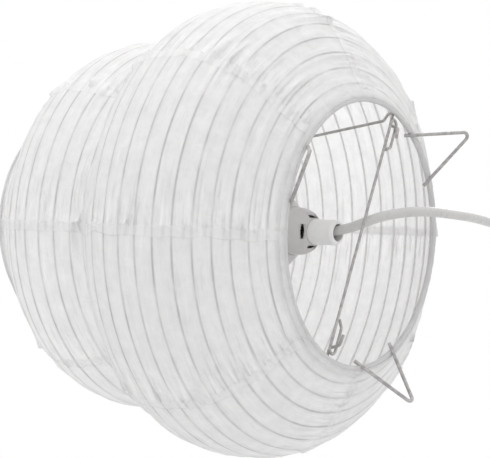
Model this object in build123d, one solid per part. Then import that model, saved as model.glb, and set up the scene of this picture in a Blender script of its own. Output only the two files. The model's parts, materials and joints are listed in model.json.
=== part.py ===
from build123d import *
import os
from math import atan2, cos, degrees, pi, radians, sin, tan

# Paper table lamp: a two-tier accordion paper shade on wire hoops, standing on three wire feet, with a
# wire frame inside that carries the lampholder. Millimetres, +Z up, origin on the lamp's axis at table
# height.

# ---- driving dimensions --------------------------------------------------------------------------
ring_height = 25.0            # centre of the bottom ring's wire above the table
bottom_ring_radius = 80.0
top_ring_radius = 76.0
shade_height = 235.0          # bottom ring to top ring
lower_bulge_radius = 141.0
waist_radius = 113.0
upper_bulge_radius = 120.5
hoop_count = 26               # hoops between the two rings, evenly spaced along the paper
hoop_wire = 1.2               # wire diameters
ring_wire = 2.0
foot_wire = 2.2
frame_wire = 1.8

paper_thickness = 0.4
paper_gap = 0.3               # free space between paper and hoop
panel_count = 8
panel_gap_angle = 0.2         # degrees left open between neighbouring panels
hem_thickness = 0.35

foot_angles = (77.0, 204.0, 320.0)
foot_reach = 104.5            # radius of the feet's tips
foot_half_width = 17.5        # half the distance between a foot's two welds
foot_bend = 3.0
foot_stub = 4.0               # length of a foot's end inside the ring

frame_angle = -67.5           # direction of the expander frame's plane about Z
leg_slope = 0.2               # inward lean of the frame's legs per unit of height
eye_width = 6.2               # spreader bar's eye, wire centre to wire centre
eye_length = 18.0

cord_diameter = 6.0
cord_length = 1800.0

holder_bottom = 43.6          # mouth of the cord grip above the table
socket_radius = 7.15          # small screw socket, inside wall
socket_length = 16.0

switch_length = 62.0
switch_width = 27.0
switch_height = 20.0

ring_r = ring_wire / 2
hoop_r = hoop_wire / 2
foot_r = foot_wire / 2
frame_r = frame_wire / 2
cord_r = cord_diameter / 2


def save(shape, name):
    """Label one piece, write it and return it."""
    shape.label = name
    export_step(shape, f"parts/{name}.step")
    return shape


def bent_wire(points, radii, wire_radius):
    """A round wire along straight runs joined by tangent arcs."""
    path = FilletPolyline(*points, radius=radii)
    section = Plane(origin=path @ 0, z_dir=path % 0) * Circle(wire_radius)
    return sweep(section, path=path)


def turned(points):
    """A solid of revolution about Z from a closed outline in (radius, height)."""
    outline = make_face(Plane.XZ * Polyline(*points, close=True))
    return revolve(outline, axis=Axis.Z)


# ---- shade outline -------------------------------------------------------------------------------
def shade_curve():
    """Line through the hoops' centres, bottom ring to top ring, in the XZ plane."""
    outline = (
        (0, bottom_ring_radius),
        (13, 103),
        (34, 130.5),
        (68, lower_bulge_radius),
        (98, 134.5),
        (122, waist_radius),
        (140, 116.5),
        (163, upper_bulge_radius),
        (187, 112.5),
        (211, 91.5),
        (shade_height, top_ring_radius),
    )
    return Spline(*[Vector(r, 0, ring_height + s) for s, r in outline])


def offset_points(curve, distance, first, last, count):
    """Points beside the curve, on its outer side."""
    points = []
    for i in range(count):
        t = first + (last - first) * i / (count - 1)
        tangent = curve % t
        outward = Vector(tangent.Z, 0, -tangent.X).normalized()
        points.append(curve @ t + outward * distance)
    return points


def hoop(curve, number):
    """One closed wire hoop."""
    centre = curve @ (number / (hoop_count + 1))
    return Pos(0, 0, centre.Z) * Torus(centre.X, hoop_r)


def paper_panel(curve, number):
    """One gore of the paper skin, between two meridians."""
    inner_distance = hoop_r + paper_gap
    ends = (4.5 / curve.length, 1 - 4.5 / curve.length)
    samples = hoop_count + 1
    inner = offset_points(curve, inner_distance, *ends, samples)
    outer = offset_points(curve, inner_distance + paper_thickness, *ends, samples)
    section = make_face([
        Spline(*inner),
        Line(inner[-1], outer[-1]),
        Spline(*outer),
        Line(outer[0], inner[0]),
    ])
    angle = 360 / panel_count
    panel = revolve(section, axis=Axis.Z, revolution_arc=angle - panel_gap_angle)
    return Rot(0, 0, number * angle + panel_gap_angle / 2) * panel


def hem(radius, height, spans):
    """Paper wrapped round a ring, in the arcs between the welds and hooks."""
    centre = (radius, height)
    ring_of_paper = Circle(ring_r + hem_thickness) - Circle(ring_r)
    section = Plane.XZ * Pos(*centre) * ring_of_paper
    pieces = []
    for start, end in spans:
        pieces.append(Rot(0, 0, start) * revolve(section, axis=Axis.Z, revolution_arc=end - start))
    return Compound(children=pieces)


# ---- feet ----------------------------------------------------------------------------------------
def foot(angle):
    """A V of wire, welded under the bottom ring at both ends, with its bend on the table."""
    fall = ring_height - foot_r
    reach = foot_reach - bottom_ring_radius
    slope = atan2(fall - ring_r - foot_r, reach)
    under = ring_r + foot_r
    ring_point = (bottom_ring_radius ** 2 - foot_half_width ** 2) ** 0.5
    weld = Vector(ring_point - under * sin(slope), 0, ring_height - under * cos(slope))
    down = Vector(cos(slope), 0, -sin(slope))
    run = (weld.Z - foot_r) / sin(slope)
    half_angle = atan2(foot_half_width, run)
    corner = run + foot_bend / sin(half_angle) - foot_bend
    stub = foot_stub / run
    tip = weld + down * corner
    ends = []
    for side in (1, -1):
        base = weld + Vector(0, side * foot_half_width, 0)
        ends.append(base - (tip - base) * stub)
    wire = bent_wire((ends[0], tip, ends[1]), [foot_bend], foot_r)
    return Rot(0, 0, angle) * wire


# ---- expander frame ------------------------------------------------------------------------------
def leg_reach(height):
    """Distance of a frame leg from the axis at a height above the table."""
    return 75.9 - leg_slope * (height - 33.0)


def expander_frame():
    """One wire: hook, leg, top arm, top bar, arm, leg, hook, all in one upright plane."""
    shoulder = 238.0
    arm_height = ring_height + shade_height - 6.0
    bar_height = arm_height + 7.0
    arm_end = top_ring_radius - ring_r - hem_thickness - 0.4 - frame_r
    half = [
        (64.0, 20.3),
        (70.6, 21.0),
        (72.6, 27.4),
        (81.0, 27.4),
        (81.0, 30.8),
        (leg_reach(33.0), 33.0),
        (leg_reach(shoulder), shoulder),
        (arm_end, arm_height),
        (arm_end, bar_height),
    ]
    bends = [1.8, 1.8, 1.65, 1.65, 1.6, 6.0, 3.2, 3.4]
    points = [Vector(w, 0, z) for w, z in half]
    points += [Vector(-w, 0, z) for w, z in reversed(half)]
    return Rot(0, 0, frame_angle) * bent_wire(points, bends + bends[::-1], frame_r)


def spreader_bar():
    """Straight wire across the bottom ring with a long eye at each end for the frame's hooks."""
    end = 76.0
    side = eye_width / 2
    start = end - eye_length
    half = [
        (start - 2.6, -side + frame_wire + 0.15),
        (start + 1.0, side),
        (end, side),
        (end, -side),
    ]
    points = [Vector(w, q, ring_height) for w, q in half]
    points += [Vector(-w, q, ring_height) for w, q in reversed(half)]
    loop = eye_width / 2 - 0.05
    bar = bent_wire(points, [2.0, loop, loop, loop, loop, 2.0], frame_r)
    return Rot(0, 0, frame_angle) * bar


def holder_carrier(height, ring_radius):
    """Wire ring round the lampholder with an arm and an eye to each leg of the frame."""
    reach = leg_reach(height)
    eye_radius = 2.3
    arm_r = frame_r - 0.1
    shape = Torus(ring_radius, frame_r)
    arm_length = reach - eye_radius - ring_radius
    for side in (1, -1):
        middle = side * (ring_radius + arm_length / 2)
        shape += Pos(middle, 0, 0) * Rot(0, 90, 0) * Cylinder(arm_r, arm_length)
        shape += Pos(side * reach, 0, 0) * Torus(eye_radius, frame_r)
    return Pos(0, 0, height) * Rot(0, 0, frame_angle) * shape


# ---- lampholder ----------------------------------------------------------------------------------
grip_top = holder_bottom + 17.6
grip_radius = 7.8
grip_bore = 5.3
cord_start = holder_bottom + 14.4
cap_bottom = grip_top + 0.1
cap_top = cap_bottom + 18.5
cap_radius = 14.7
barrel_radius = 13.2
barrel_top = cap_top + 34.0
cone_top = cap_top + 9.0
cone_radius = 24.0
carrier_height = cone_top + frame_r + 0.02
nut_bottom = carrier_height + frame_r + 0.05
nut_height = 6.5
nut_clearance = 0.06
socket_bottom = barrel_top - 1.0 - socket_length
insert_bottom = cap_top + 4.0
insert_height = 7.6
insert_radius = 11.0


def cord_grip():
    """Collar that the lead leaves by, with a neck that screws into the cap."""
    body = Pos(0, 0, holder_bottom) * Cylinder(
        grip_radius, grip_top - holder_bottom, align=(Align.CENTER, Align.CENTER, Align.MIN))
    body = fillet(body.faces().sort_by(Axis.Z)[0].edges(), 2.2)
    body += Pos(0, 0, grip_top) * Cylinder(6.4, 3.0, align=(Align.CENTER, Align.CENTER, Align.MIN))
    bore = Pos(0, 0, holder_bottom) * Cylinder(
        grip_bore, cord_start - holder_bottom, align=(Align.CENTER, Align.CENTER, Align.MIN))
    return body - bore


def holder_cap():
    """Domed cap with four windows round the grip."""
    wall = 1.4
    shoulder = 7.5
    outline = [
        Line((6.5, cap_bottom), (8.7, cap_bottom)),
        ThreePointArc((8.7, cap_bottom), (13.0, cap_bottom + 4.6), (cap_radius, cap_bottom + shoulder + 4)),
        Line((cap_radius, cap_bottom + shoulder + 4), (cap_radius, cap_top)),
        Line((cap_radius, cap_top), (cap_radius - wall, cap_top)),
        Line((cap_radius - wall, cap_top), (cap_radius - wall, cap_bottom + shoulder + 4)),
        ThreePointArc(
            (cap_radius - wall, cap_bottom + shoulder + 4), (11.9, cap_bottom + 5.6), (8.2, cap_bottom + wall)),
        Line((8.2, cap_bottom + wall), (6.5, cap_bottom + wall)),
        Line((6.5, cap_bottom + wall), (6.5, cap_bottom)),
    ]
    shell = revolve(make_face([Plane.XZ * edge for edge in outline]), axis=Axis.Z)
    window = Pos(10.75, 0, cap_bottom + 1.45) * Box(4.5, 9.0, 3.5)
    for quarter in range(4):
        shell -= Rot(0, 0, 90 * quarter) * window
    return shell


def seat_cone():
    """Flared collar that the carrier's ring rests on."""
    inner = cap_radius + 0.1
    hole = barrel_radius + 0.1
    return turned([
        (inner, cap_top - 3.0),
        (inner + 0.6, cap_top - 3.0),
        (cone_radius, cone_top - 1.5),
        (cone_radius, cone_top),
        (hole, cone_top),
        (hole, cone_top - 1.5),
        (cone_radius - 3.2, cone_top - 1.5),
        (inner, cap_top + 1.0),
    ])


def lamp_barrel():
    """Skirt of the lampholder: flange on the cap, room for the insert, bore for the thread shell."""
    flange_top = cap_top + 2.4
    chamber_radius = insert_radius + 0.15
    chamber_top = insert_bottom + insert_height + 0.1
    return turned([
        (chamber_radius, cap_top + 0.05),
        (cap_radius - 0.3, cap_top + 0.05),
        (cap_radius - 0.3, flange_top),
        (barrel_radius, flange_top),
        (barrel_radius, barrel_top),
        (socket_radius + 0.5, barrel_top),
        (socket_radius + 0.5, chamber_top),
        (chamber_radius, chamber_top),
    ])


def retaining_ring():
    """Ring nut on the barrel that clamps the carrier against the cone."""
    outer = 20.0
    ring = Pos(0, 0, nut_bottom) * Cylinder(
        outer, nut_height, align=(Align.CENTER, Align.CENTER, Align.MIN))
    ring = chamfer(ring.faces().sort_by(Axis.Z)[-1].edges(), 1.2)
    ring -= Pos(0, 0, nut_bottom) * Cylinder(
        barrel_radius + nut_clearance, nut_height, align=(Align.CENTER, Align.CENTER, Align.MIN))
    notch = Pos(outer, 0, nut_bottom + nut_height / 2) * Cylinder(1.3, nut_height + 1)
    for number in range(12):
        ring -= Rot(0, 0, 30 * number) * notch
    return ring


def contact_insert():
    """Insulating block with a hole for each lead and a seat for each terminal screw."""
    block = Pos(0, 0, insert_bottom) * Cylinder(
        insert_radius, insert_height, align=(Align.CENTER, Align.CENTER, Align.MIN))
    for side in (1, -1):
        block -= Pos(side * 6.0, 0, insert_bottom + 1.5) * Cylinder(1.6, 3.02)
        block -= Pos(side * 9.2, 0, insert_bottom + 5.2) * Rot(0, 90, 0) * Cylinder(1.55, 3.8)
    return block


def thread_shell():
    """Thin brass shell that the lamp's cap screws into."""
    base = Pos(0, 0, socket_bottom)
    low = (Align.CENTER, Align.CENTER, Align.MIN)
    shell = base * Cylinder(socket_radius + 0.45, socket_length, align=low)
    return shell - base * Cylinder(socket_radius, socket_length, align=low)


def centre_contact():
    """Sprung brass tongue at the bottom of the socket."""
    floor = insert_bottom + insert_height
    side_view = Polyline(
        (-4.5, floor + 0.05), (3.5, floor + 0.05), (3.5, floor + 0.55), (-3.4, floor + 0.55),
        (1.5, floor + 2.9), (1.5, floor + 3.4), (-4.5, floor + 0.6), close=True)
    return extrude(make_face(Plane.XZ * side_view), amount=2.0, both=True)


def terminal_screws():
    """Two screws that hold the leads in the insert."""
    screws = []
    for side in (1, -1):
        head = Pos(side * 10.2, 0, insert_bottom + 5.2) * Rot(0, 90, 0) * Cylinder(1.5, 1.4)
        head -= Pos(side * 10.9, 0, insert_bottom + 5.2) * Box(0.9, 3.4, 0.5)
        screws.append(head)
    return Compound(children=screws)


def inner_leads():
    """The lead's two insulated cores between the grip and the terminals."""
    cores = []
    for side in (1, -1):
        start = Vector(side * 1.3, 0, grip_top + 3.05)
        bend = Vector(side * 1.3, 0, grip_top + 9.0)
        turn = Vector(side * 6.0, 0, insert_bottom - 6.0)
        end = Vector(side * 6.0, 0, insert_bottom + 2.9)
        cores.append(bent_wire((start, bend, turn, end), [3.0, 3.0], 1.2))
    return Compound(children=cores)


# ---- mains lead ----------------------------------------------------------------------------------
# Route of the lead, from the grip down to the table, out between the feet, through the switch and to the
# put-away coil. The tail leads from the coil to the plug.
lead_route = [
    (0.0, 0.0, cord_start),
    (0.2, -0.9, 40.0),
    (11.0, -11.2, 21.5),
    (34.0, -15.6, 8.0),
    (62.0, -14.6, 3.0),
    (100.0, -13.0, 3.0),
    (150.0, -7.0, 6.5),
    (232.0, 15.0, 6.5),
    (278.0, 31.0, 3.0),
    (314.0, 23.0, 3.0),
]
switch_run = 6                # index of the route's point before the switch
coil_side = -1                # the coil turns clockwise
coil_radii = (30.0, 36.0, 42.0)
coil_layers = 2
tail_route = [
    (303.8, -59.7, 9.0),
    (276.0, -61.0, 5.2),
    (250.0, -60.6, 4.4),
    (231.0, -60.0, 7.0),
]
plug_boot_length = 28.0
plug_body_length = 34.0
plug_thickness = 13.7
pin_radius = 2.0
pin_length = 19.0
pin_spacing = 18.6


def corner_radii(route):
    """Largest tangent arc at each inner point that leaves a tenth of the shorter run straight."""
    points = [Vector(*p) for p in route]
    radii = []
    for a, b, c in zip(points, points[1:], points[2:]):
        turn = (b - a).get_angle(c - b)
        shorter = min((b - a).length, (c - b).length)
        radii.append(0.45 * shorter / tan(radians(turn) / 2))
    return radii


def cord_tube(route, name):
    """Plain tube along a route, with its radii and volume printed."""
    radii = corner_radii(route)
    points = [Vector(*p) for p in route]
    tube = bent_wire(points, radii, cord_r)
    length = FilletPolyline(*points, radius=radii).length
    print(name, "length", round(length, 1), "radii", [round(r) for r in radii],
          "volume / section x length", round(tube.volume / (pi * cord_r ** 2 * length), 4))
    return tube, length


def coil_centre():
    """Centre of the coil, whose outer turn carries on from the lead's last run."""
    last = Vector(*lead_route[-1])
    heading = (last - Vector(*lead_route[-2])).normalized()
    sideways = Vector(-heading.Y, heading.X, 0).normalized()
    return last + sideways * coil_side * coil_radii[-1]


def cord_coil():
    """Outer shape of the put-away turns."""
    centre = coil_centre()
    low = (Align.CENTER, Align.CENTER, Align.MIN)
    height = coil_layers * cord_diameter
    ring = Cylinder(coil_radii[-1] + cord_r, height, align=low)
    ring -= Cylinder(coil_radii[0] - cord_r, height, align=low)
    return Pos(centre.X, centre.Y, 0) * ring


# ---- switch on the lead --------------------------------------------------------------------------
rocker_length = 16.4
rocker_width = 12.0
rocker_pivot = 16.5           # height of the rocker's axis above the table


def switch_place():
    """Moves a switch piece from its own frame, length along X, onto the lead."""
    before = Vector(*lead_route[switch_run])
    after = Vector(*lead_route[switch_run + 1])
    middle = (before + after) * 0.5
    angle = degrees(atan2(after.Y - before.Y, after.X - before.X))
    return Pos(middle.X, middle.Y, 0) * Rot(0, 0, angle)


def switch_shell(bottom, top):
    """One half of the switch's body, with its half of the lead's channel."""
    half = Pos(0, 0, bottom) * Box(
        switch_length, switch_width, top - bottom, align=(Align.CENTER, Align.CENTER, Align.MIN))
    half = fillet(half.edges().filter_by(Axis.Z), 9.0)
    channel = Pos(0, 0, lead_route[switch_run][2]) * Rot(0, 90, 0) * Cylinder(cord_r + 0.03, 80)
    return half - channel


def switch_base():
    """Lower half of the switch."""
    base = switch_shell(0, lead_route[switch_run][2])
    return chamfer(base.faces().sort_by(Axis.Z)[0].outer_wire().edges(), 1.0)


def switch_cover():
    """Upper half, with the rocker's window and its two bearing holes."""
    cover = switch_shell(lead_route[switch_run][2], switch_height)
    cover = fillet(cover.faces().sort_by(Axis.Z)[-1].outer_wire().edges(), 2.5)
    cover -= Pos(0, 0, 11.5) * Box(
        rocker_length + 2.2, rocker_width + 0.8, 12, align=(Align.CENTER, Align.CENTER, Align.MIN))
    return cover - Pos(0, 0, rocker_pivot) * Rot(90, 0, 0) * Cylinder(1.25, rocker_width + 3.6)


def switch_rocker():
    """Rocker on its two stub axles, at rest with one end up."""
    end = rocker_length / 2
    outline = Polyline(
        (-end, 13.5), (end, 13.5), (end, 20.6), (0, 18.6), (-end, 19.4), close=True)
    rocker = extrude(make_face(Plane.XZ * outline), amount=rocker_width / 2, both=True)
    rocker = fillet(rocker.edges().filter_by(Axis.Y).sort_by(Axis.Z)[-3:], 0.8)
    return rocker + Pos(0, 0, rocker_pivot) * Rot(90, 0, 0) * Cylinder(1.2, rocker_width + 3.2)


# ---- plug ----------------------------------------------------------------------------------------
def plug_place():
    """Moves a plug piece from its own frame, pins along +X from the boot's end, onto the tail's end."""
    end = Vector(*tail_route[-1])
    heading = end - Vector(*tail_route[-2])
    return Pos(end.X, end.Y, end.Z) * Rot(0, 0, degrees(atan2(heading.Y, heading.X)))


def plug_body():
    """Flat moulded plug with its tapered boot."""
    boot = Pos(plug_boot_length / 2, 0, 0) * Rot(0, 90, 0) * Cone(3.7, 5.6, plug_boot_length)
    outline = Polyline(
        (plug_boot_length - 2, -6.0), (plug_boot_length + 8, -11.0),
        (plug_boot_length + plug_body_length, -17.5), (plug_boot_length + plug_body_length, 17.5),
        (plug_boot_length + 8, 11.0), (plug_boot_length - 2, 6.0), close=True)
    body = extrude(make_face(outline), amount=plug_thickness / 2, both=True)
    body = fillet(body.edges().filter_by(Axis.Z), 2.0)
    body = chamfer(body.faces().sort_by(Axis.Z)[-1].edges(), 1.2)
    body = chamfer(body.faces().sort_by(Axis.Z)[0].edges(), 1.2)
    return boot + body


def plug_pins():
    """The two round contact pins."""
    pins = []
    start = plug_boot_length + plug_body_length + 0.02
    for side in (1, -1):
        pin = Pos(start + pin_length / 2, side * pin_spacing / 2, 0) * Rot(0, 90, 0)
        solid = pin * Cylinder(pin_radius, pin_length)
        pins.append(fillet(solid.faces().sort_by(Axis.X)[-1].edges(), 1.2))
    return pins


# ---- make and write every piece ------------------------------------------------------------------
def build_shade():
    """Rings, hems, hoops and paper."""
    curve = shade_curve()
    print("paper along the meridian", round(curve.length, 1),
          "between hoops", round(curve.length / (hoop_count + 1), 2))
    top = ring_height + shade_height
    save(Pos(0, 0, ring_height) * Torus(bottom_ring_radius, ring_r), "bottom_ring")
    save(Pos(0, 0, top) * Torus(top_ring_radius, ring_r), "top_ring")
    joints = sorted(
        [(a + s * degrees(foot_half_width / bottom_ring_radius)) % 360 for a in foot_angles for s in (1, -1)]
        + [frame_angle % 360, (frame_angle + 180) % 360])
    spans = []
    for start, end in zip(joints, joints[1:] + [joints[0] + 360]):
        spans.append((start + 2.0, end - 2.0))
    save(hem(bottom_ring_radius, ring_height, spans), "bottom_hem")
    save(hem(top_ring_radius, top, [(0.0, 359.0)]), "top_hem")
    for number in range(1, hoop_count + 1):
        save(hoop(curve, number), f"hoop_{number:02d}")
    for number in range(panel_count // 2):
        opposite = number + panel_count // 2
        pair = Compound(children=[paper_panel(curve, number), paper_panel(curve, opposite)])
        save(pair, f"paper_panels_{number + 1}")


def build_frame():
    """Feet, expander frame, spreader bar and carrier."""
    for number, angle in enumerate(foot_angles, 1):
        save(foot(angle), f"foot_{number}")
    save(expander_frame(), "expander_frame")
    save(spreader_bar(), "spreader_bar")
    save(holder_carrier(carrier_height, barrel_radius + frame_r + 0.4), "holder_carrier")


def build_lampholder():
    """Every piece of the lampholder."""
    save(cord_grip(), "cord_grip")
    save(holder_cap(), "holder_cap")
    save(seat_cone(), "seat_cone")
    save(lamp_barrel(), "lamp_barrel")
    save(retaining_ring(), "retaining_ring")
    save(contact_insert(), "contact_insert")
    save(thread_shell(), "thread_shell")
    save(centre_contact(), "centre_contact")
    save(terminal_screws(), "terminal_screws")
    save(inner_leads(), "inner_leads")


def build_lead():
    """Lead, coil, switch and plug."""
    lead, lead_length = cord_tube(lead_route, "lead")
    tail, tail_length = cord_tube(tail_route, "tail")
    in_coil = cord_length - lead_length - tail_length
    turns = in_coil / (2 * pi * sum(coil_radii) / len(coil_radii))
    print("length left for the coil", round(in_coil, 1), "turns", round(turns, 2))
    print("coil centre", coil_centre())
    save(Compound(children=[lead, tail]), "mains_cord")
    save(cord_coil(), "cord_coil")
    place = switch_place()
    save(place * switch_base(), "switch_base")
    save(place * switch_cover(), "switch_cover")
    save(place * switch_rocker(), "switch_rocker")
    save(plug_place() * plug_body(), "plug_body")
    save(Compound(children=[plug_place() * pin for pin in plug_pins()]), "plug_pins")


os.makedirs("parts", exist_ok=True)
build_shade()
build_frame()
build_lampholder()
build_lead()
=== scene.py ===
import json
import math
from math import cos, pi, radians, sin

import bpy
from mathutils import Matrix, Vector, noise


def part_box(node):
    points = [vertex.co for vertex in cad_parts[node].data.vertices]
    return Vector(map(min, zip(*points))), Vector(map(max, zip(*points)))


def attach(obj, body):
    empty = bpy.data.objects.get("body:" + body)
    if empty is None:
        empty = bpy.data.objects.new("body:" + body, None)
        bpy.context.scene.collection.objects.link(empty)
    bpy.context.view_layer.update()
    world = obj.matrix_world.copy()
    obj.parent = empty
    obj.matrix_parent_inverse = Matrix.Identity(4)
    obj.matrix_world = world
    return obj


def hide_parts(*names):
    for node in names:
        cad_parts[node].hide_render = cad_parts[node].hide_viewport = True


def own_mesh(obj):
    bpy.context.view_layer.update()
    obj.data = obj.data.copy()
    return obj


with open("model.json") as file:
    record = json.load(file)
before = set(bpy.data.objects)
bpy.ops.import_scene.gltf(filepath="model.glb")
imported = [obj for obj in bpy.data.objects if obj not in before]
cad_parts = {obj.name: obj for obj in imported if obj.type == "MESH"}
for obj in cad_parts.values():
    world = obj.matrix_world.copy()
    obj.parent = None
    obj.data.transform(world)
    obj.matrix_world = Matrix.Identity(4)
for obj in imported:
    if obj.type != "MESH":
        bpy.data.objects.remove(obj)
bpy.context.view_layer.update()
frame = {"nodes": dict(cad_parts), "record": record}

nodes = frame["nodes"]


# ---- camera --------------------------------------------------------------------------------------
CAMERA_TILT = radians(51.82)  # view direction from straight up
CAMERA_ROLL = radians(2.35)
RING_CENTRE = (0, 0, 0.025)   # middle of the bottom ring
RING_SEEN_AT = (0.0710, 0.0029, 0.810)  # the same point from the camera: right, down, ahead
SENSOR_WIDTH = 36.0
FOCAL_PIXELS = 1357           # focal length in pixels of an image IMAGE_WIDTH wide
IMAGE_WIDTH = 490


def make_camera():
    """Looks up into the shade's bottom opening, rolled so that the lamp's axis lies nearly level."""
    tilt, roll = CAMERA_TILT, CAMERA_ROLL
    right = Vector((cos(tilt) * cos(roll), -sin(roll), -sin(tilt) * cos(roll)))
    down = Vector((cos(tilt) * sin(roll), cos(roll), -sin(tilt) * sin(roll)))
    forward = Vector((sin(tilt), 0, cos(tilt)))
    place = Vector(RING_CENTRE)
    for axis, distance in zip((right, down, forward), RING_SEEN_AT):
        place -= axis * distance
    data = bpy.data.cameras.new("camera")
    data.sensor_width = SENSOR_WIDTH
    data.lens = SENSOR_WIDTH * FOCAL_PIXELS / IMAGE_WIDTH
    data.clip_start = 0.05
    data.clip_end = 20
    camera = bpy.data.objects.new("camera", data)
    axes = Matrix((right, -down, -forward)).transposed().to_4x4()
    camera.matrix_world = Matrix.Translation(place) @ axes
    bpy.context.collection.objects.link(camera)
    bpy.context.scene.camera = camera


make_camera()

# ---- the mains lead ------------------------------------------------------------------------------
CORD_RADIUS = 0.003
# control points, lampholder to coil
LEAD_ROUTE = (
    (0.0, 0.0, 0.058),
    (0.0002, -0.0009, 0.040),
    (0.011, -0.0112, 0.0215),
    (0.034, -0.0156, 0.008),
    (0.062, -0.0146, 0.003),
    (0.100, -0.013, 0.003),
    (0.150, -0.007, 0.0065),
    (0.232, 0.015, 0.0065),
    (0.278, 0.031, 0.003),
)
# control points, coil to plug
TAIL_ROUTE = (
    (0.276, -0.061, 0.0052),
    (0.250, -0.0606, 0.0044),
    (0.231, -0.060, 0.007),
)
COIL_CENTRE = (0.304889, -0.018)
COIL_RADIUS = 0.042           # middle of the cord in the outermost turn
COIL_START = radians(77.47)
COIL_TURNS = 6.46
COIL_STEPS = 16               # control points in a turn
TURNS_IN = (0.84, 1.84, 2.84)     # where the cord steps in by its diameter
TURNS_OUT = (3.46, 4.46, 5.46)    # where it steps out again, on the upper layer
TURN_STEP = 0.16              # share of a turn that a step takes
LAYER_CHANGE = (3.0, 3.46)    # where the cord climbs to the upper layer


def ramp(t, start, end):
    """0 before start, 1 after end, smooth between."""
    x = min(max((t - start) / (end - start), 0.0), 1.0)
    return x * x * (3 - 2 * x)


def coil_points():
    """Turns side by side from the outside in on the table, then back out on top of them."""
    points = []
    for i in range(int(COIL_TURNS * COIL_STEPS) + 1):
        t = i / COIL_STEPS
        radius = COIL_RADIUS
        for turn in TURNS_IN:
            radius -= 2 * CORD_RADIUS * ramp(t, turn, turn + TURN_STEP)
        for turn in TURNS_OUT:
            radius += 2 * CORD_RADIUS * ramp(t, turn, turn + TURN_STEP)
        height = CORD_RADIUS + 2 * CORD_RADIUS * ramp(t, *LAYER_CHANGE)
        angle = COIL_START - 2 * pi * t
        points.append((COIL_CENTRE[0] + radius * cos(angle), COIL_CENTRE[1] + radius * sin(angle), height))
    return points


def make_cord():
    """The whole lead as one tube: to the switch and through it, round the coil, and back to the plug."""
    curve = bpy.data.curves.new("lead", "CURVE")
    curve.dimensions = "3D"
    points = list(LEAD_ROUTE) + coil_points() + list(TAIL_ROUTE)
    spline = curve.splines.new("NURBS")
    spline.points.add(len(points) - 1)
    for point, place in zip(spline.points, points):
        point.co = (*place, 1.0)
        point.radius = CORD_RADIUS
    spline.order_u = 3
    spline.use_endpoint_u = True
    spline.resolution_u = 8
    curve.bevel_depth = 1.0
    curve.bevel_resolution = 6
    curve.use_fill_caps = True
    cord = bpy.data.objects.new("lead", curve)
    bpy.context.collection.objects.link(cord)
    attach(cord, "lamp_base")
    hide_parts("mains_cord", "cord_coil")
    return cord


lead = make_cord()


# ---- materials -----------------------------------------------------------------------------------
def new_material(name, color, roughness, metallic=0.0):
    """A Principled material, its node tree, its shader and the object's coordinates."""
    material = bpy.data.materials.new(name)
    material.use_nodes = True
    tree = material.node_tree
    shader = tree.nodes["Principled BSDF"]
    shader.inputs["Base Color"].default_value = (*color, 1)
    shader.inputs["Roughness"].default_value = roughness
    shader.inputs["Metallic"].default_value = metallic
    coordinates = tree.nodes.new("ShaderNodeTexCoord")
    return material, tree, shader, coordinates.outputs["Object"]


def add_noise(tree, vector, scale, detail=3.0, stretch=None, roughness=0.5):
    """Noise texture's value at a scale, its coordinates stretched if asked."""
    if stretch:
        mapping = tree.nodes.new("ShaderNodeMapping")
        mapping.inputs["Scale"].default_value = stretch
        tree.links.new(vector, mapping.inputs["Vector"])
        vector = mapping.outputs["Vector"]
    texture = tree.nodes.new("ShaderNodeTexNoise")
    texture.inputs["Scale"].default_value = scale
    texture.inputs["Detail"].default_value = detail
    texture.inputs["Roughness"].default_value = roughness
    tree.links.new(vector, texture.inputs["Vector"])
    return texture.outputs["Fac"]


def add_range(tree, value, low, high, to_low, to_high):
    """Maps a value from one range to another, clamped."""
    node = tree.nodes.new("ShaderNodeMapRange")
    for name, number in (("From Min", low), ("From Max", high), ("To Min", to_low), ("To Max", to_high)):
        node.inputs[name].default_value = number
    tree.links.new(value, node.inputs["Value"])
    return node.outputs["Result"]


def add_mix(tree, factor, first, second):
    """Colour mix; each colour is a socket or three numbers."""
    node = tree.nodes.new("ShaderNodeMix")
    node.data_type = "RGBA"
    tree.links.new(factor, node.inputs["Factor"])
    for name, colour in (("A", first), ("B", second)):
        socket = [s for s in node.inputs if s.name == name and s.type == "RGBA"][0]
        if isinstance(colour, tuple):
            socket.default_value = (*colour, 1)
        else:
            tree.links.new(colour, socket)
    return [s for s in node.outputs if s.type == "RGBA"][0]


def add_math(tree, operation, a, b=0.0):
    """Math node on two values, each a socket or a number."""
    node = tree.nodes.new("ShaderNodeMath")
    node.operation = operation
    for i, value in enumerate((a, b)):
        if isinstance(value, (int, float)):
            node.inputs[i].default_value = value
        else:
            tree.links.new(value, node.inputs[i])
    return node.outputs["Value"]


def add_bump(tree, shader, height, strength, distance):
    """Bump from a height value into a shader's normal."""
    node = tree.nodes.new("ShaderNodeBump")
    node.inputs["Strength"].default_value = strength
    node.inputs["Distance"].default_value = distance
    tree.links.new(height, node.inputs["Height"])
    tree.links.new(node.outputs["Normal"], shader.inputs["Normal"])
    return node


def moulded_plastic(name, color, roughness, translucency=0.0):
    """Moulded plastic: faint flow mottling, fine surface texture, uneven gloss."""
    material, tree, shader, place = new_material(name, color, roughness)
    mottle = add_noise(tree, place, 55, 4)
    darker = tuple(c * 0.93 for c in color)
    mottled = add_mix(tree, add_range(tree, mottle, 0.35, 0.7, 0, 1), color, darker)
    tree.links.new(mottled, shader.inputs["Base Color"])
    gloss = add_range(tree, add_noise(tree, place, 210, 3), 0.3, 0.7, roughness - 0.06, roughness + 0.08)
    tree.links.new(gloss, shader.inputs["Roughness"])
    add_bump(tree, shader, add_noise(tree, place, 1400, 2), 0.12, 0.0002)
    if translucency:
        shader.inputs["Subsurface Weight"].default_value = translucency
        shader.inputs["Subsurface Radius"].default_value = (0.002, 0.002, 0.002)
        shader.inputs["Subsurface Scale"].default_value = 1.0
    return material


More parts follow.
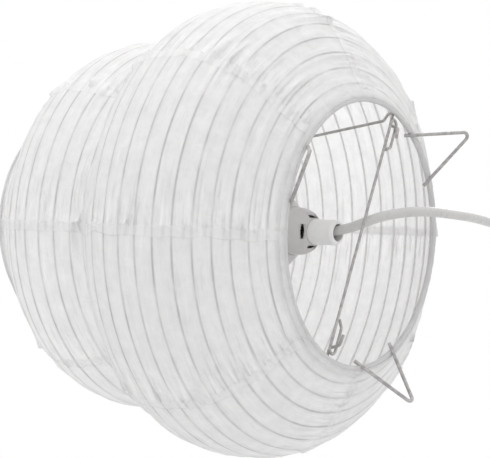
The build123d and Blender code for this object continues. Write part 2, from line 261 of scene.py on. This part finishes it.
def drawn_wire(name, color, roughness, metallic, streak=0.18):
    """Drawn steel wire under thin lacquer: long scratches, small dull spots."""
    material, tree, shader, place = new_material(name, color, roughness, metallic)
    streaks = add_noise(tree, place, 900, 3, stretch=(1, 1, 0.25))
    spots = add_noise(tree, place, 320, 4)
    dull = tuple(c * (1 - streak) for c in color)
    bright = tuple(min(c * (1 + streak), 1.0) for c in color)
    spotted = add_mix(tree, add_range(tree, spots, 0.38, 0.66, 0, 1), dull, bright)
    tree.links.new(spotted, shader.inputs["Base Color"])
    tree.links.new(add_range(tree, streaks, 0.3, 0.7, roughness - 0.08, roughness + 0.14), shader.inputs["Roughness"])
    add_bump(tree, shader, streaks, 0.15, 0.0001)
    return material


PITCH = 0.01073               # paper between two hoops, which turns bays into metres


def paper_colour(tree, cloud, fibre, crease):
    """Cloudy white paper with pale fibres, and creases painted lighter on one side and darker on the other: painted
    highlight and painted shade.
    """
    base = add_mix(tree, add_range(tree, cloud, 0.34, 0.68, 0, 1), (0.935, 0.93, 0.928), (0.86, 0.855, 0.855))
    base = add_mix(tree, add_range(tree, fibre, 0.56, 0.78, 0, 0.5), base, (0.96, 0.957, 0.955))
    # painted highlight along one side of the creases
    base = add_mix(tree, add_range(tree, crease, 0.56, 0.72, 0, 0.8), base, (0.97, 0.967, 0.965))
    # painted shade along the other side of the creases
    return add_mix(tree, add_range(tree, crease, 0.30, 0.44, 0.6, 0), base, (0.80, 0.795, 0.795))


def hoop_shade_and_glue_lines(tree, base, bays, wobble):
    """Grey lines along the hoops: painted shade of the wire seen through the paper, and the glue that holds the paper
    there, clearer in some places than in others.
    """
    fraction = add_math(tree, "FRACT", add_math(tree, "ADD", bays, 0.5))
    distance = add_math(tree, "ABSOLUTE", add_math(tree, "SUBTRACT", fraction, 0.5))
    line = add_range(tree, distance, 0.03, 0.07, 1, 0)
    line = add_math(tree, "MULTIPLY", line, add_range(tree, wobble, 0.35, 0.65, 0.06, 0.46))
    # painted shade of the hoop wire through the paper, with its glue, as grey lines
    return add_mix(tree, line, base, (0.36, 0.36, 0.36))


def lap_marks(tree, base, flat, cloud, crease, wobble):
    """The glued strip at a gore's first edge, patchily darker where the paper lies doubled (painted shade), its cut
    edge, and the creases gathered beside it, painted lighter on their raised side and darker on their sunk side
    (painted highlight and painted shade). The "lap" UV runs in metres from the seam and from the cut edge."""
    lap = tree.nodes.new("ShaderNodeUVMap")
    lap.uv_map = "lap"
    split = tree.nodes.new("ShaderNodeSeparateXYZ")
    tree.links.new(lap.outputs["UV"], split.inputs["Vector"])
    from_seam, from_cut = split.outputs["X"], split.outputs["Y"]
    ragged = add_range(tree, add_noise(tree, flat, 220, 3), 0.3, 0.7, -0.0008, 0.0008)
    edge = add_math(tree, "ADD", from_seam, ragged)
    patchy = add_range(tree, wobble, 0.42, 0.62, 0.0, 1.0)
    # painted shade: the doubled paper of the glued strip is darkened in patches, as two layers let less light through
    glued = add_range(tree, edge, -0.0001, 0.0003, 1, 0)
    glued = add_math(tree, "MULTIPLY", glued, add_range(tree, cloud, 0.3, 0.7, 0.0, 0.35))
    base = add_mix(tree, add_math(tree, "MULTIPLY", glued, patchy), base, (0.80, 0.795, 0.79))
    base = add_mix(tree, add_range(tree, edge, -0.0003, 0.0003, 0.6, 0), base, (1.0, 0.997, 0.995))
    gather = add_range(tree, from_seam, 0.002, 0.030, 1, 0)
    gather = add_math(tree, "MULTIPLY", gather, add_range(tree, edge, -0.0010, 0.0010, 0.35, 1))
    # painted highlight on the raised side of the creases by the seam
    crease_highlight = add_math(tree, "MULTIPLY", gather, add_range(tree, crease, 0.53, 0.62, 0, 0.9))
    base = add_mix(tree, crease_highlight, base, (0.99, 0.988, 0.986))
    # painted shade on the sunk side of the creases by the seam
    crease_shade = add_math(tree, "MULTIPLY", gather, add_range(tree, crease, 0.36, 0.46, 0.8, 0))
    base = add_mix(tree, crease_shade, base, (0.70, 0.695, 0.695))
    cut = add_range(tree, from_cut, 0.0002, 0.0008, 0.5, 0)
    return add_mix(tree, add_math(tree, "MULTIPLY", cut, patchy), base, (0.62, 0.615, 0.61))


def crinkle(tree, flat):
    """Height of shallow facets, as in paper that was crumpled and smoothed: cell edges, warped."""
    warp_noise = tree.nodes.new("ShaderNodeTexNoise")
    warp_noise.inputs["Scale"].default_value = 60
    tree.links.new(flat, warp_noise.inputs["Vector"])
    shrink = tree.nodes.new("ShaderNodeVectorMath")
    shrink.operation = "SCALE"
    shrink.inputs["Scale"].default_value = 0.02
    tree.links.new(warp_noise.outputs["Color"], shrink.inputs[0])
    warp = tree.nodes.new("ShaderNodeVectorMath")
    warp.operation = "ADD"
    tree.links.new(flat, warp.inputs[0])
    tree.links.new(shrink.outputs["Vector"], warp.inputs[1])
    cells = tree.nodes.new("ShaderNodeTexVoronoi")
    cells.feature = "DISTANCE_TO_EDGE"
    cells.inputs["Scale"].default_value = 120
    tree.links.new(warp.outputs["Vector"], cells.inputs["Vector"])
    return add_range(tree, cells.outputs["Distance"], 0.0, 0.35, 0, 1)


def paper_material(name, glued, tone=1.0):
    """Thin rice paper that lets light through. Paper glued on hoops also has their marks and its laps. The
    "paper" UV runs across the gore in metres and along it in bays."""
    material, tree, shader, _ = new_material(name, (0.9, 0.9, 0.895), 0.62)
    shader.inputs["Specular IOR Level"].default_value = 0.3
    uv = tree.nodes.new("ShaderNodeUVMap")
    uv.uv_map = "paper"
    mapping = tree.nodes.new("ShaderNodeMapping")
    mapping.inputs["Scale"].default_value = (1.0, PITCH, 1.0)
    tree.links.new(uv.outputs["UV"], mapping.inputs["Vector"])
    flat = mapping.outputs["Vector"]
    cloud = add_noise(tree, flat, 95, 6, roughness=0.62)
    fibre = add_noise(tree, flat, 300, 5, stretch=(1.0, 0.6, 1.0), roughness=0.7)
    crease = add_noise(tree, flat, 360, 4, stretch=(0.09, 1.0, 1.0), roughness=0.6)
    base = paper_colour(tree, cloud, fibre, crease)
    if glued:
        split = tree.nodes.new("ShaderNodeSeparateXYZ")
        tree.links.new(uv.outputs["UV"], split.inputs["Vector"])
        wobble = add_noise(tree, flat, 34, 3)
        base = hoop_shade_and_glue_lines(tree, base, split.outputs["Y"], wobble)
        base = lap_marks(tree, base, flat, cloud, crease, wobble)
    # a tone below 1 paints the whole paper darker; the hems use it as painted shade
    if tone < 1:
        toned = tree.nodes.new("ShaderNodeHueSaturation")
        toned.inputs["Value"].default_value = tone
        tree.links.new(base, toned.inputs["Color"])
        base = toned.outputs["Color"]
    tree.links.new(base, shader.inputs["Base Color"])
    height = add_math(tree, "MULTIPLY", crinkle(tree, flat), 0.8)
    height = add_math(tree, "ADD", height, add_math(tree, "MULTIPLY", fibre, 0.3))
    height = add_math(tree, "ADD", height, crease)
    bump = add_bump(tree, shader, height, 0.35, 0.0006)
    through = tree.nodes.new("ShaderNodeBsdfTranslucent")
    tree.links.new(base, through.inputs["Color"])
    tree.links.new(bump.outputs["Normal"], through.inputs["Normal"])
    mix = tree.nodes.new("ShaderNodeMixShader")
    mix.inputs["Fac"].default_value = 0.45
    tree.links.new(shader.outputs["BSDF"], mix.inputs[1])
    tree.links.new(through.outputs["BSDF"], mix.inputs[2])
    tree.links.new(mix.outputs["Shader"], tree.nodes["Material Output"].inputs["Surface"])
    return material


def node_materials():
    """Gives each CAD node whose slot is listed here its material."""
    wire = drawn_wire("wire_grey", (0.44, 0.425, 0.42), 0.36, 0.5)
    hoops = drawn_wire("wire_hoop", (0.80, 0.795, 0.79), 0.5, 0.15, 0.05)
    grip = moulded_plastic("plastic_grip", (0.82, 0.815, 0.81), 0.34, 0.15)
    holder = moulded_plastic("plastic_holder", (0.60, 0.585, 0.58), 0.4, 0.03)
    insert = moulded_plastic("plastic_insert", (0.72, 0.69, 0.62), 0.6)
    switch = moulded_plastic("plastic_switch", (0.66, 0.655, 0.65), 0.34, 0.05)
    plug = moulded_plastic("plastic_plug", (0.64, 0.635, 0.63), 0.45, 0.05)
    core = moulded_plastic("plastic_core", (0.10, 0.07, 0.06), 0.4)
    brass = drawn_wire("metal_brass", (0.78, 0.58, 0.26), 0.3, 1.0)
    pins = drawn_wire("metal_nickel", (0.75, 0.74, 0.72), 0.2, 1.0, 0.08)
    by_slot = {
        "ring_wire": wire, "grey_wire": wire, "hoop_wire": hoops, "grip_plastic": grip, "holder_plastic": holder,
        "insert_plastic": insert, "switch_plastic": switch, "rocker_plastic": switch, "plug_plastic": plug,
        "core_insulation": core, "brass": brass, "screw_steel": pins, "pin_metal": pins,
    }
    for part in frame["record"]["subparts"]:
        material = by_slot.get(part["material_slot"])
        if material:
            mesh = nodes[part["node"]].data
            mesh.materials.clear()
            mesh.materials.append(material)


node_materials()
lead.data.materials.append(moulded_plastic("plastic_cord", (0.60, 0.59, 0.585), 0.3, 0.05))

# ---- paper shade ---------------------------------------------------------------------------------
GORES = 8
COLUMNS = 64                  # cells across a gore
BAY_ROWS = (0.0, 0.06, 0.16, 0.27, 0.38, 0.5, 0.62, 0.73, 0.84, 0.94)
OVERLAP = 0.0060              # width of the glued strip at a seam
OVERLAP_VARIES = 0.35         # by this share of it, from hoop to hoop
LAP_LIFT = 0.00022            # a gore's first edge stands off the gore under it
LAP_LIFT_ENDS = 0.004         # as far as this from the seam
PAPER_OFF = 0.00085           # paper outside the hoops' centres
END_OFF = 0.0010              # more of that over the hems, in the first and last part of a bay
END_BAYS = 0.6
SAG = -0.00055                # middle of a bay
WAIST_BAYS = (11.0, 16.5)     # between the tiers, where the paper gathers


def shade_stations():
    """(radius, height) of the bottom ring, every hoop and the top ring."""
    names = ["bottom_ring"] + sorted(n for n in nodes if n.startswith("hoop_")) + ["top_ring"]
    stations = []
    for name in names:
        low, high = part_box(name)
        wire = (high[2] - low[2]) / 2
        stations.append(((high[0] - low[0]) / 2 - wire, (high[2] + low[2]) / 2))
    return stations


STATIONS = shade_stations()
BAYS = len(STATIONS) - 1


def profile(v):
    """Point (radius, height) and outward direction of the paper's line at bay position v."""
    bay = min(int(v), BAYS - 1)
    f = v - bay
    (r0, z0), (r1, z1) = STATIONS[bay], STATIONS[bay + 1]
    before = STATIONS[max(bay - 1, 0)]
    after = STATIONS[min(bay + 2, BAYS)]
    run0 = Vector((r1 - before[0], z1 - before[1])).normalized()
    run1 = Vector((after[0] - r0, after[1] - z0)).normalized()
    run = run0.lerp(run1, f).normalized()
    return Vector((r0 + (r1 - r0) * f, z0 + (z1 - z0) * f)), Vector((run.y, -run.x))


def ridge(f, middle, half_width):
    """Height of a fold's cross-section, 1 at its middle."""
    return max(0.0, 1 - abs(f - middle) / half_width) ** 1.4


def pucker(angle, v, from_seam, gore):
    """Height of the paper's wrinkles: small ones from hoop to hoop, and folds beside the hoops that run
    out from the seams and gather at the waist."""
    bay = min(int(v), BAYS - 1)
    f = v - bay
    free = sin(pi * f) ** 0.8 if 0 < f < 1 else 0.0
    radius = STATIONS[bay][0]
    across = angle * radius
    lean = 0.25 * noise.noise(Vector((across / 0.03, bay * 5.1, 2.0)))
    fine = noise.noise(Vector((across / 0.0062 + lean * f * 3, bay * 3.7, gore)))
    wide = noise.noise(Vector((across / 0.021 + lean * f, bay * 1.9 + 40, gore)))
    waist = ramp(v, WAIST_BAYS[0], WAIST_BAYS[0] + 2) * (1 - ramp(v, WAIST_BAYS[1] - 2, WAIST_BAYS[1]))
    ends = 1 - ramp(v, 0, 3) + ramp(v, BAYS - 3, BAYS)
    near = math.exp(-(from_seam / 0.006) ** 2)
    small = 0.00020 + 0.00040 * waist + 0.00025 * ends + 0.00060 * near
    large = 0.00035 + 0.00055 * waist + 0.00040 * near
    reach = math.exp(-from_seam / 0.028)
    drift = noise.noise(Vector((across / 0.055, bay * 2.3, gore + 7.0)))
    first = ridge(f, 0.34 + 0.22 * drift, 0.24)
    second = ridge(f, 0.70 - 0.20 * drift, 0.20)
    strength = noise.noise(Vector((across / 0.035, bay * 4.1 + 11, gore)))
    other = noise.noise(Vector((across / 0.030, bay * 6.3 + 23, gore)))
    fold = 0.0042 * (0.25 + reach + 0.8 * waist)
    folds = fold * (first * max(0.0, strength + 0.35 * reach) + second * max(0.0, other + 0.3 * reach))
    return free * (small * fine + large * wide + folds)


def rows():
    """Bay positions of the mesh rows, bottom ring to top ring."""
    positions = [bay + f for bay in range(BAYS) for f in BAY_ROWS]
    return positions + [float(BAYS)]


def paper_object(name, vertices, faces, uv_layers, material):
    """A smooth paper mesh. uv_layers gives each layer's coordinates by vertex."""
    mesh = bpy.data.meshes.new(name)
    mesh.from_pydata(vertices, [], faces)
    for layer_name, coordinates in uv_layers.items():
        layer = mesh.uv_layers.new(name=layer_name)
        for loop in mesh.loops:
            layer.data[loop.index].uv = coordinates[loop.vertex_index]
    mesh.shade_smooth()
    mesh.materials.append(material)
    paper = bpy.data.objects.new(name, mesh)
    bpy.context.collection.objects.link(paper)
    return paper


def make_gore(number, material):
    """One gore: a strip of paper glued to every hoop, its first edge lapped over the gore before it."""
    start = number * 2 * pi / GORES
    width = 2 * pi / GORES
    positions = rows()
    vertices = []
    uvs = []
    laps = []
    for v in positions:
        point, outward = profile(v)
        radius = point.x
        bay = min(int(v), BAYS - 1)
        sag = SAG * sin(pi * (v - bay))
        ends = 1 - ramp(v, 0, END_BAYS) + ramp(v, BAYS - END_BAYS, BAYS)
        lap = OVERLAP * (1 + OVERLAP_VARIES * noise.noise(Vector((v * 0.8, number * 9.0, 5.0)))) / radius
        for i in range(COLUMNS + 1):
            u = i / COLUMNS
            angle = start - lap + (width + lap) * u
            inside = (angle - start) * radius
            from_seam = min(abs(inside), abs((start + width - angle) * radius))
            over = LAP_LIFT * (1 - ramp(inside, 0.0, LAP_LIFT_ENDS))
            wrinkles = pucker(angle, v, from_seam, number if inside > 0 else number - 1)
            off = PAPER_OFF + sag + over + END_OFF * ends + wrinkles
            r = radius + outward.x * off
            vertices.append((r * cos(angle), r * sin(angle), point.y + outward.y * off))
            uvs.append(((angle - start - width / 2) * radius + number * 0.37, v))
            laps.append((inside, inside + lap * radius))
    faces = []
    stride = COLUMNS + 1
    for row in range(len(positions) - 1):
        for i in range(COLUMNS):
            a = row * stride + i
            faces.append((a, a + 1, a + 1 + stride, a + stride))
    return paper_object(f"paper_gore_{number + 1}", vertices, faces, {"paper": uvs, "lap": laps}, material)


def make_shade():
    """Eight gores, glued to the hoops."""
    material = paper_material("rice_paper", True)
    for number in range(GORES):
        gore = make_gore(number, material)
        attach(gore, "lamp_base")
        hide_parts(f"paper_panels_{number % 4 + 1}")
        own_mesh(gore)


HEM_COLUMNS = 420
HEM_INSIDE = 0.00145          # a folded edge's thickness towards the lamp's axis
HEM_CLEARS = 0.0003           # outer flap outside the fold
HEM_TURN = (10, 200)          # degrees: where the fold round the wire starts, and how far it goes
HEM_STEPS = 8
HOOK_ANGLES = (radians(112.5), radians(292.5))    # the frame's hooks press the hem flat here
HOOK_WIDTH = radians(5)
HOOK_PRESS = 0.0003


def hem_section(size):
    """Points (off, rise) of the paper folded round a ring: down the outside, round the wire, up the inside."""
    section = [(size + HEM_CLEARS, 0.0036), (size + HEM_CLEARS, 0.0008)]
    for i in range(HEM_STEPS + 1):
        turn = radians(HEM_TURN[0] - HEM_TURN[1] * i / HEM_STEPS)
        section.append((size * cos(turn), size * sin(turn)))
    return section + [(-0.0015, 0.0022), (-0.0012, 0.0042), (-0.0010, 0.0062)]


def make_hem(name, node, body, material, station, size):
    """Paper folded round a ring, its end glued up the inside of the shade."""
    ring_r, ring_z = STATIONS[station]
    up = 1 if station == 0 else -1
    section = hem_section(size)
    n = len(section)
    tangent = profile(0.3 if station == 0 else BAYS - 0.3)[1]
    vertices = []
    uvs = []
    for c in range(HEM_COLUMNS):
        angle = 2 * pi * c / HEM_COLUMNS
        for k, (off, rise) in enumerate(section):
            rough = noise.noise(Vector((cos(angle) * 22, sin(angle) * 22, k * 0.22 + station)))
            fine = noise.noise(Vector((cos(angle) * 70, sin(angle) * 70, k * 0.5 + station)))
            out = off + (0.00022 * rough + 0.00016 * fine) * (1 if off > 0 else 0.3)
            if off < -HEM_INSIDE:
                hook = max(math.exp(-((angle - hook_at) / HOOK_WIDTH) ** 2) for hook_at in HOOK_ANGLES)
                out = -HEM_INSIDE + HOOK_PRESS * hook
            lift = rise * (1 + 0.18 * rough) if k in (0, n - 1) else rise
            r = ring_r + (out * tangent.x - lift * tangent.y * up if lift > 0 else out)
            z = ring_z + (up * abs(lift) * abs(tangent.x) + out * tangent.y if lift > 0 else up * lift)
            vertices.append((r * cos(angle), r * sin(angle), z))
            uvs.append((c / HEM_COLUMNS * 0.5, 0.25 + 0.04 * k))
    faces = []
    for c in range(HEM_COLUMNS):
        d = (c + 1) % HEM_COLUMNS
        for k in range(n - 1):
            quad = (c * n + k, d * n + k, d * n + k + 1, c * n + k + 1)
            faces.append(quad if up > 0 else quad[::-1])
    hem = paper_object(name, vertices, faces, {"paper": uvs}, material)
    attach(hem, body)
    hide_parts(node)


make_shade()
# the hems' paper is painted 3% darker than the shade's: painted shade of the ring wire inside the fold
hem_material = paper_material("folded_paper", False, 0.97)
make_hem("hem_fold_bottom", "bottom_hem", "lamp_base", hem_material, 0, 0.0020)
make_hem("hem_fold_top", "top_hem", "top_ring_body", hem_material, BAYS, 0.0015)


# ---- floor, light --------------------------------------------------------------------------------
FLOOR_HALF = 6.0
FLOOR_HEIGHT = -0.0003
BACKDROP_AHEAD = (0.786, 0.0, 0.618)    # the way the main camera looks
ROOM_BRIGHT = 1.0             # brightness of the room on the -Y side
ROOM_DIM = 0.84               # and on the +Y side


def make_floor():
    """Pale floor, seen from above only: the main camera looks up through it."""
    material = bpy.data.materials.new("floor")
    material.use_nodes = True
    tree = material.node_tree
    shader = tree.nodes["Principled BSDF"]
    shader.inputs["Base Color"].default_value = (0.56, 0.56, 0.56, 1)
    shader.inputs["Roughness"].default_value = 0.8
    clear = tree.nodes.new("ShaderNodeBsdfTransparent")
    side = tree.nodes.new("ShaderNodeNewGeometry")
    mix = tree.nodes.new("ShaderNodeMixShader")
    tree.links.new(side.outputs["Backfacing"], mix.inputs["Fac"])
    tree.links.new(shader.outputs["BSDF"], mix.inputs[1])
    tree.links.new(clear.outputs["BSDF"], mix.inputs[2])
    tree.links.new(mix.outputs["Shader"], tree.nodes["Material Output"].inputs["Surface"])
    mesh = bpy.data.meshes.new("floor")
    corners = [(x * FLOOR_HALF, y * FLOOR_HALF, 0) for x, y in ((-1, -1), (1, -1), (1, 1), (-1, 1))]
    mesh.from_pydata(corners, [], [(0, 1, 2, 3)])
    mesh.materials.append(material)
    floor = bpy.data.objects.new("floor", mesh)
    floor.location.z = FLOOR_HEIGHT
    floor.visible_shadow = False
    floor.visible_diffuse = False
    floor.visible_glossy = False
    floor.visible_transmission = False
    bpy.context.collection.objects.link(floor)


def area_light(name, place, target, size, power):
    """Soft square light that looks at a point."""
    data = bpy.data.lights.new(name, "AREA")
    data.size = size
    data.energy = power
    light = bpy.data.objects.new(name, data)
    light.location = place
    light.rotation_euler = (Vector(target) - Vector(place)).to_track_quat("-Z", "Y").to_euler()
    bpy.context.collection.objects.link(light)


def make_light():
    """A white backdrop, a room that is dimmer on the +Y side, and two soft lights."""
    world = bpy.data.worlds.new("studio")
    world.use_nodes = True
    tree = world.node_tree
    background = tree.nodes["Background"]
    background.inputs["Color"].default_value = (1, 1, 1, 1)
    direction = tree.nodes.new("ShaderNodeTexCoord")
    facing = tree.nodes.new("ShaderNodeVectorMath")
    facing.operation = "DOT_PRODUCT"
    facing.inputs[1].default_value = BACKDROP_AHEAD
    tree.links.new(direction.outputs["Generated"], facing.inputs[0])
    backdrop = add_range(tree, facing.outputs["Value"], -0.2, 0.85, 0, 1)
    across = tree.nodes.new("ShaderNodeSeparateXYZ")
    tree.links.new(direction.outputs["Generated"], across.inputs["Vector"])
    room = add_range(tree, across.outputs["Y"], -1, 1, ROOM_BRIGHT, ROOM_DIM)
    room = add_math(tree, "MULTIPLY", room, add_math(tree, "SUBTRACT", 1.0, backdrop))
    strength = add_math(tree, "ADD", room, backdrop)
    tree.links.new(strength, background.inputs["Strength"])
    bpy.context.scene.world = world
    bpy.context.scene.view_settings.view_transform = "Standard"
    centre = (0, 0, 0.13)
    area_light("above", (-0.2, -1.5, 0.3), centre, size=1.0, power=7.5)
    area_light("behind", (1.5, -0.9, 1.1), centre, size=1.2, power=12)


make_floor()
make_light()

bpy.context.view_layer.update()
